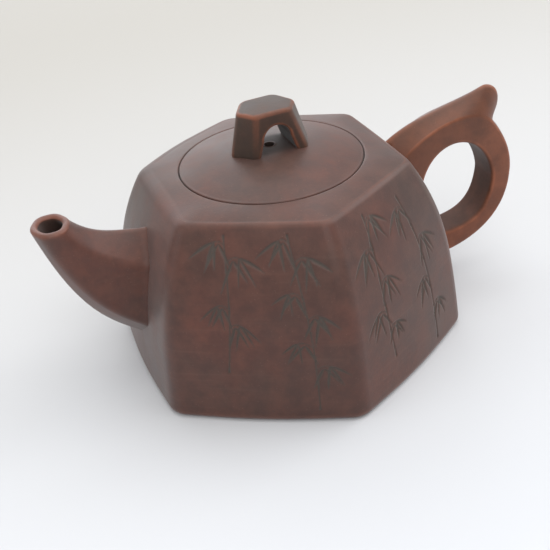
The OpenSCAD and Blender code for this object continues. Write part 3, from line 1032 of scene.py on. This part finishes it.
@dataclass
class Handle:
    """Ear-shaped handle with a thumb rest and a ridge along its outside."""

    body: Body
    half_w: float = 7.0
    thumb_z: float = 79.8
    notch_z: float = 66.0
    reach: float = 99.8
    ridge: float = 2.5
    finger_reach: float = 89.3
    finger_floor_z: float = 23.5
    foot_t: float = 9.6
    back_z: float = 42.0
    ridge_cut: float = 3.0
    edge_cut: float = 1.1
    inner_cut: float = 1.7
    root_depth: float = 2.2
    worn_bend: Range = (0.10, 0.7)
    # Share of painted shade on the finger hole's face.
    inner_shade: float = 0.7
    per_cell: int = 8
    corner_steps: int = 8

    def _guides(self) -> tuple[np.ndarray, np.ndarray, np.ndarray]:
        """The three lines that shape the handle, [distance out, height].

        Each line is made of cubic curves, or of stretches of one between two of its parameters.

        Returns:
            The ridge along the outside, the edge of the flat sides and the finger hole, each a line
            of points that runs from the shoulder over the thumb rest and the back to the low root.
        """
        x, z, top = self.reach - 10.8, self.notch_z, self.thumb_z
        back, floor, low = self.back_z, self.finger_floor_z, self.finger_floor_z - self.foot_t
        edge = self.reach - self.ridge
        inner = self.finger_reach
        finger_upper = ((57.5, 38), (56.4, 67.6), (inner - 2.6, 67.4), (inner, back))
        edge_top = ((44, 52), (50.3, 67.2), (76.5, 77.4), (x, z))
        ridge_line = (
            (((42, 64.5), (55.4, 75.4), (75.5, top - 6.6), (x + 0.7, top)), 0, 1),
            (((x + 0.7, top), (x + 8.9, top - 0.9), (x + 9.0, z + 2.7), (x + 2.5, z - 0.8)), 0, 1),
            (((x + 2.5, z - 0.8), (self.reach - 2.1, z - 6.8), (self.reach + 0.5, back + 8.4),
              (self.reach, back)), 0, 1),
            (((self.reach, back), (self.reach - 0.8, floor - 6), (76.8, low - self.ridge - 0.7),
              (56, low - self.ridge)), 0, 1),
        )
        edge_line = (
            (edge_top, 0, 0.84),
            (edge_top, 0.84, 1),
            (((x, z), (x + 5.2, z - 6.9), (edge + 1, back + 8.9), (edge, back)), 0, 1),
            (((edge, back), (edge - 1.5, floor - 3.2), (75.3, low - 1.5), (56, low + 0.1)), 0, 1),
        )
        finger_line = (
            (finger_upper, 0, 0.66),
            (finger_upper, 0.66, 0.78),
            (finger_upper, 0.78, 1),
            (((inner, back), (inner - 2.2, floor - 2.7), (73.3, floor + 0.1),
              (54, floor - 0.5)), 0, 1),
        )
        cells = (9, 7, 5, 9)

        def line(stretches: tuple[tuple[Curve, float, float], ...]) -> np.ndarray:
            """Points along one guide's four stretches, softened where two of them meet."""
            parts = [bezier(g, np.linspace(start, stop, n * self.per_cell, endpoint=False))
                     for (g, start, stop), n in zip(stretches, cells)]
            points = np.concatenate([*parts, np.array([stretches[-1][0][-1]], float)])
            return blurred(points, 1.5)

        return line(ridge_line), line(edge_line), line(finger_line)

    def build(self) -> bpy.types.Object:
        """Build the handle: five-cornered rings along the guides, pointed outside, flat inside.

        Returns:
            The handle, with both ends sunk a little into the wall.
        """
        ridge, edge, finger = self._guides()
        w = np.full(len(ridge), self.half_w)
        corners = np.stack([
            np.stack([p[:, 0], y, p[:, 1]], axis=-1)
            for p, y in ((ridge, 0 * w), (edge, -w), (finger, -w), (finger, w), (edge, w))
        ], axis=1)
        edge_cut, inner_cut = self.edge_cut, self.inner_cut
        cuts = np.array([[self.ridge_cut, edge_cut, inner_cut, inner_cut, edge_cut]])
        grid = soft_rings(corners, cuts, self.corner_steps)
        grid = self.body.kept_out(grid, Side.HANDLE, self.root_depth)
        piece = surface("handle_ear", grid, Ends.POLES)
        mark_worn_edges(piece, *self.worn_bend)
        # Painted shade darkens the finger hole's face, which lies between the two finger corners.
        corner = np.arange(grid.shape[1]) / self.corner_steps
        inside = smoothstep(2.2, 2.7, corner) * smoothstep(3.8, 3.3, corner)
        painted_shade = np.repeat(self.inner_shade * inside[None, :], len(grid), axis=0)
        set_attribute(piece, "painted_shade", with_poles(painted_shade))
        return piece


# ---- Lid ----


@dataclass
class Lid:
    """Low domed lid with a vent hole, and the bridge-shaped knob on it.

    The hollow under the dome bends at a share of the seat's radius, where it has a share of its
    rise to go. The knob's block starts inside the dome, at its low level above the rim. A range
    holds where an effect begins and where it is complete: the bend of a worn edge per millimetre,
    and the distances over which painted shade fades in round the knob's feet and inside its
    opening.
    """

    body: Body
    gap: float = 0.3
    seat_gap: float = 0.3
    crown: float = 5.8
    clay_t: float = 4.2
    seat_r: float = 24.4
    vent_r: float = 1.75
    edge_r: float = 0.55
    vent_edge_r: float = 0.35
    seat_edge_r: float = 0.5
    hollow_share: float = 0.6
    hollow_rise: float = 0.15
    dome_bend: Range = (2.4, 7.0)
    knob_bend: Range = (0.12, 0.7)
    # Painted shade under the knob: how dark it is, and where it fades in on the dome and in the
    # opening.
    dome_shade: float = 0.75
    dome_shade_x: Range = (7.2, 4.6)
    dome_shade_y: Range = (9.0, 5.5)
    arch_shade: float = 0.8
    arch_shade_gap: Range = (0.9, 0.3)
    arch_shade_fade: float = 2.5
    foot_x: float = 15.0
    foot_y: float = 8.2
    top_x: float = 11.4
    top_y: float = 8.1
    point: float = 6.9
    blunt: float = 3.4
    top_point: float = 4.6
    knob_low: float = 2.6
    knob_top_z: float = 93.1
    knob_crown: float = 1.0
    arch_half_w: float = 5.1
    arch_top_z: float = 87.8
    arch_flare: float = 3.4
    arch_shift: float = 0.7
    knob_edge: float = 1.1
    knob_corner: float = 1.9
    voxel: float = 0.32
    sponge_wipes: int = 7

    @property
    def radius(self) -> float:
        """The lid's outer radius: the mouth's, less the gap."""
        return self.body.mouth_r - self.gap

    @property
    def rim_z(self) -> float:
        """Height of the shoulder at the mouth, which is where the dome starts."""
        return float(self.body.roof_z(1.0))

    def dome_z(self, r: np.ndarray) -> np.ndarray:
        """Height of the dome: a parabola that falls from the middle to the edge."""
        return self.rim_z + self.crown * (1 - (r / self.radius) ** 2)

    def dome(self) -> bpy.types.Object:
        """Turn the lid's closed profile round the axis.

        The profile goes from the vent over the dome, round the rim, along the underside, up the
        hollow and back through the vent.

        Returns:
            The lid's disc.
        """
        under = self.body.ridge_z - self.body.shoulder_t + self.seat_gap
        edge, vent, seat = self.edge_r, self.vent_edge_r, self.seat_edge_r
        down = np.radians(np.linspace(90, 0, 7))
        up = down[::-1]
        dome_r = np.linspace(self.vent_r + vent, self.radius - edge, 44)
        top = self.rim_z + self.crown - self.clay_t
        bend_r, bend_z = self.seat_r * self.hollow_share, mix(top, under, self.hollow_rise)
        rows = [
            (self.vent_r + vent * (1 - np.sin(down)),
             self.dome_z(self.vent_r) - vent * (1 - np.cos(down))),
            (dome_r, self.dome_z(dome_r)),
            (self.radius - edge * (1 - np.cos(down)),
             self.dome_z(self.radius - edge) - edge * (1 - np.sin(down))),
            (self.radius - seat * (1 - np.cos(up)), under + seat * (1 - np.sin(up))),
            (np.linspace(self.radius - 1, self.seat_r, 6), np.full(6, under)),
            (np.linspace(self.seat_r, bend_r, 8)[1:], np.linspace(under, bend_z, 8)[1:]),
            (np.linspace(bend_r, self.vent_r, 8)[1:], np.linspace(bend_z, top, 8)[1:]),
        ]
        r = np.concatenate([part[0] for part in rows])
        z = np.concatenate([part[1] for part in rows])
        theta = np.linspace(0, 2 * np.pi, 192, endpoint=False)
        grid = np.stack([r[:, None] * np.cos(theta), r[:, None] * np.sin(theta),
                         np.repeat(z[:, None], len(theta), axis=1)], axis=-1)
        piece = surface("lid_dome", grid, Ends.JOINED)
        mark_worn_edges(piece, *self.dome_bend)
        # Painted shade: the dome under the knob's opening is darkened as though the knob shaded it.
        under_arch = smoothstep(*self.dome_shade_x, np.abs(grid[..., 0] - self.arch_shift))
        under_arch *= smoothstep(*self.dome_shade_y, np.abs(grid[..., 1]))
        set_attribute(piece, "painted_shade", (self.dome_shade * under_arch).ravel())
        return piece

    def _knob_block(self) -> bpy.types.Object:
        """The knob before its opening is cut.

        Six-sided rings, long in X, taper from the dome to the top. The spout-side foot runs out
        to a point and the handle-side foot is blunter. The top is crowned along X by a parabola,
        and its edge is a quarter circle.

        Returns:
            A closed block.
        """
        edge, walls, rolls = self.knob_edge, 40, 7
        low, bevel = self.rim_z + self.knob_low, self.knob_top_z - edge
        levels = np.concatenate([np.linspace(low, bevel, walls), np.full(2 * rolls, bevel)])
        roll = np.radians(np.linspace(0, 90, rolls + 1))[1:]
        inset = np.concatenate([np.zeros(walls), edge * (1 - np.cos(roll)), np.full(rolls, edge)])
        rise = np.concatenate([np.zeros(walls), edge * np.sin(roll), np.full(rolls, edge)])
        shrink = np.concatenate([np.ones(walls + rolls), np.linspace(1, 0.1, rolls + 1)[1:]])
        heights = [self.rim_z + self.crown, bevel]
        x = np.interp(levels, heights, [self.foot_x, self.top_x]) - inset
        y = np.interp(levels, heights, [self.foot_y, self.top_y]) - inset
        p = x - np.interp(levels, heights, [self.point, self.top_point])
        q = x - np.interp(levels, heights, [self.blunt, self.top_point])
        zero = np.zeros_like(x)
        corners = np.stack([
            np.stack([px * shrink, py * shrink, levels + rise], axis=-1)
            for px, py in ((x, zero), (q, y), (-p, y), (-x, zero), (-p, -y), (q, -y))
        ], axis=1)
        grid = soft_rings(corners, (self.knob_corner * shrink)[:, None], 8)
        share = (grid[..., 2] - low) / (self.knob_top_z - low)
        fall = self.knob_crown * (grid[..., 0] / self.top_x) ** 2
        grid[..., 2] -= fall * np.clip(share, 0, 1) ** 2
        return surface("knob_block", grid, Ends.POLES)

    def _arch(self) -> bpy.types.Object:
        """The opening as a long prism along Y: straight, spreading sides under a half circle."""
        mid, bottom = self.arch_top_z - self.arch_half_w, self.rim_z
        turn = np.radians(np.linspace(0, 180, 33))
        spread = self.arch_half_w + self.arch_flare
        x = np.concatenate([[spread], self.arch_half_w * np.cos(turn), [-spread]]) + self.arch_shift
        z = np.concatenate([[bottom], mid + self.arch_half_w * np.sin(turn), [bottom]])
        rings = [np.stack([x, np.full(len(x), y), z], axis=-1) for y in (-20.0, 20.0)]
        return surface("knob_arch_cutter", np.array(rings), Ends.POLES)

    def _in_arch(self, mesh: bpy.types.Mesh) -> np.ndarray:
        """Share of painted shade at each of the knob's vertices.

        It is full on the sides and the crown of the opening and fades at both of its mouths.

        Args:
            mesh: The knob's finished mesh.

        Returns:
            One number for each vertex.
        """
        x, y, z = vertex_places(mesh).T
        x = x - self.arch_shift
        mid = self.arch_top_z - self.arch_half_w
        spread = self.arch_flare * np.maximum(mid - z, 0) / (mid - self.rim_z)
        off_axis = np.where(z > mid, np.hypot(x, z - mid), np.abs(x))
        inside = smoothstep(*self.arch_shade_gap, off_axis - spread - self.arch_half_w)
        within = smoothstep(self.foot_y, self.foot_y - self.arch_shade_fade, np.abs(y))
        return self.arch_shade * inside * within

    def knob(self) -> bpy.types.Object:
        """Cut the opening through the block and rub every edge soft, as a wet sponge does.

        Returns:
            The knob: an arch with two feet, sunk a little into the dome.
        """
        piece, arch = self._knob_block(), self._arch()
        cut_away(piece, [arch], "EXACT")
        grain = piece.modifiers.new("grain", "REMESH")
        grain.mode, grain.voxel_size, grain.use_smooth_shade = "VOXEL", self.voxel * MM, True
        sponge = piece.modifiers.new("sponge", "SMOOTH")
        sponge.factor, sponge.iterations = 0.5, self.sponge_wipes
        settle(piece, "knob_bridge", [arch])
        mark_worn_edges(piece, *self.knob_bend)
        # Painted shade inside the knob's opening.
        set_attribute(piece, "painted_shade", self._in_arch(piece.data))
        return piece


# ---- Studio ----


@dataclass(frozen=True)
class Camera:
    """Where the camera stands, in millimetres and degrees: it looks at aim, turned and rolled."""

    aim: Point = (-3.31, 1.10, 22.11)
    azimuth: float = -18.368
    elevation: float = 32.853
    roll: float = 6.793
    distance: float = 366.57
    lens: float = 61.62
    sensor: float = 36.0

    def place(self) -> None:
        """Make the camera and hand it to the scene."""
        a, e, k = (math.radians(v) for v in (self.azimuth, self.elevation, self.roll))
        back = Vector((math.sin(a) * math.cos(e), -math.cos(a) * math.cos(e), math.sin(e)))
        level = (-back).cross(Vector((0, 0, 1))).normalized()
        upright = level.cross(-back)
        right = level * math.cos(k) - upright * math.sin(k)
        up = upright * math.cos(k) + level * math.sin(k)
        data = bpy.data.cameras.new("camera")
        data.lens, data.sensor_width = self.lens, self.sensor
        data.clip_start, data.clip_end = 0.01, 20.0
        camera = bpy.data.objects.new("camera", data)
        turn = Matrix((right, up, back)).transposed().to_4x4()
        spot = (Vector(self.aim) + back * self.distance) * MM
        camera.matrix_world = Matrix.Translation(spot) @ turn
        bpy.context.scene.collection.objects.link(camera)
        bpy.context.scene.camera = camera


@dataclass(frozen=True)
class SoftBox:
    """One square studio light, in metres."""

    name: str
    spot: Point
    size: float
    watts: float
    tint: Colour
    target: Point = (0.0, 0.0, 0.04)

    def place(self) -> None:
        """Hang the light and turn it to the pot."""
        data = bpy.data.lights.new(self.name, "AREA")
        data.shape, data.size = "SQUARE", self.size
        data.energy, data.color = self.watts, self.tint
        lamp = bpy.data.objects.new(self.name, data)
        lamp.location = self.spot
        way = Vector(self.target) - Vector(self.spot)
        lamp.rotation_mode = "QUATERNION"
        lamp.rotation_quaternion = way.to_track_quat("-Z", "Y")
        bpy.context.scene.collection.objects.link(lamp)


@dataclass(frozen=True)
class Studio:
    """Pale paper floor, soft lights and an even, pale surround."""

    paper_near: Colour = (0.68, 0.70, 0.74)
    paper_far_shaded: Colour = (0.47, 0.455, 0.425)
    paper_at_pot: float = 0.45
    paper_per_metre: float = 1.2
    paper_half_w: float = 3.0
    surround: Colour = (0.97, 0.98, 1.0)
    surround_level: float = 0.57
    boxes: tuple[SoftBox, ...] = (
        SoftBox("overhead", (0.20, 0.00, 1.30), 1.3, 10.0, (1.0, 0.99, 0.97)),
        SoftBox("back_window", (0.00, 1.20, 0.80), 1.4, 10.0, (0.95, 0.97, 1.0)),
        SoftBox("left_window", (-1.30, 0.00, 0.70), 0.9, 2.4, (0.97, 0.98, 1.0)),
        SoftBox("right_window", (1.80, 0.00, 1.40), 1.5, 17.5, (0.97, 0.98, 1.0)),
        SoftBox("front_window", (-0.20, -1.40, 1.20), 1.2, 10.0, (1.0, 0.99, 0.98)),
    )

    def _paper(self) -> bpy.types.Material:
        """Matt paper that turns from a cool white near by to a darker, warm white far off, painted
        in for the light falling off towards the back.
        """
        g = Graph("studio_paper")
        place = g.node("ShaderNodeTexCoord", out="Object")
        split = g.node("ShaderNodeSeparateXYZ", {}, {0: place}, out="Y")
        # Painted light falloff: the paper darkens and warms further back.
        far = g.ramp(split * self.paper_per_metre + self.paper_at_pot, 0.0, 1.0)
        shader = g.node("ShaderNodeBsdfPrincipled", {}, {
            "Base Color": g.blend(far, self.paper_near, self.paper_far_shaded), "Roughness": 0.9,
            "Specular IOR Level": 0.1
        })
        g.node("ShaderNodeOutputMaterial", {}, {"Surface": shader})
        return g.material

    def build(self) -> None:
        """Lay the floor, hang the lights and set the surround and the view."""
        half = self.paper_half_w
        mesh = bpy.data.meshes.new("studio_floor")
        corners = [(-half, -half, 0), (half, -half, 0), (half, half, 0), (-half, half, 0)]
        mesh.from_pydata(corners, [], [(0, 1, 2, 3)])
        floor = bpy.data.objects.new("studio_floor", mesh)
        bpy.context.scene.collection.objects.link(floor)
        mesh.materials.append(self._paper())
        for box in self.boxes:
            box.place()
        world = bpy.data.worlds.new("surround")
        world.use_nodes = True
        sky = world.node_tree.nodes["Background"]
        sky.inputs["Color"].default_value = (*self.surround, 1.0)
        sky.inputs["Strength"].default_value = self.surround_level
        scene = bpy.context.scene
        scene.world = world
        scene.view_settings.view_transform = "Standard"
        scene.view_settings.look = "None"


def finish_cad_node(name: str, material: bpy.types.Material) -> None:
    """Give a CAD node that keeps its own shape a better material."""
    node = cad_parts[name]
    if not node.material_slots:
        node.data.materials.append(material)
    for place in node.material_slots:
        place.link = "OBJECT"
        place.material = material
    LOG.info("%s: keeps its own shape", name)


def main() -> None:
    """Build the teapot piece by piece, then the studio round it."""
    logging.basicConfig(level=logging.INFO, format="%(name)s: %(message)s")
    Camera().place()
    Studio().build()

    plain = UnglazedClay("clay_burnished").build()
    warm = UnglazedClay("clay_handled", base=(0.092, 0.029, 0.012), red=(0.125, 0.034, 0.013),
                        grey=(0.072, 0.030, 0.015), worn=(0.300, 0.092, 0.040), warmth=0.75,
                        polish=0.36, dust=0.16).build()
    # The knob's clay is a rougher copy of the body's, painted darker to stand for the shade on its
    # sides.
    dull_and_shaded = UnglazedClay("clay_knob_shaded", base=(0.042, 0.021, 0.012), red=(0.066, 0.025, 0.013),
                        grey=(0.036, 0.023, 0.015), worn=(0.230, 0.070, 0.032), wear=0.8,
                        roughness=0.48, polish=0.40, dust=0.16).build()
    bare = UnglazedClay("clay_unpolished", base=(0.075, 0.038, 0.028), warmth=0.3, wear=0.2,
                        roughness=0.72, polish=0.3, dust=0.1).build()

    body = Body()
    dress(body.shell(), plain, Rider.POT, (
        "base_slab", "wall_spout", "wall_front", "wall_front_right", "wall_handle",
        "wall_rear_right", "wall_rear_left", "shoulder_slab"))
    dress(Spout(body).build(), plain, Rider.POT, ("spout",))
    dress(Handle(body).build(), warm, Rider.POT, ("handle",))
    lid = Lid(body)
    dress(lid.dome(), plain, Rider.LID, ("lid_disc",))
    dress(lid.knob(), dull_and_shaded, Rider.LID, ("lid_knob",))
    finish_cad_node("mouth_ring", bare)
    finish_cad_node("lid_flange", bare)


if __name__ == "__main__":
    main()
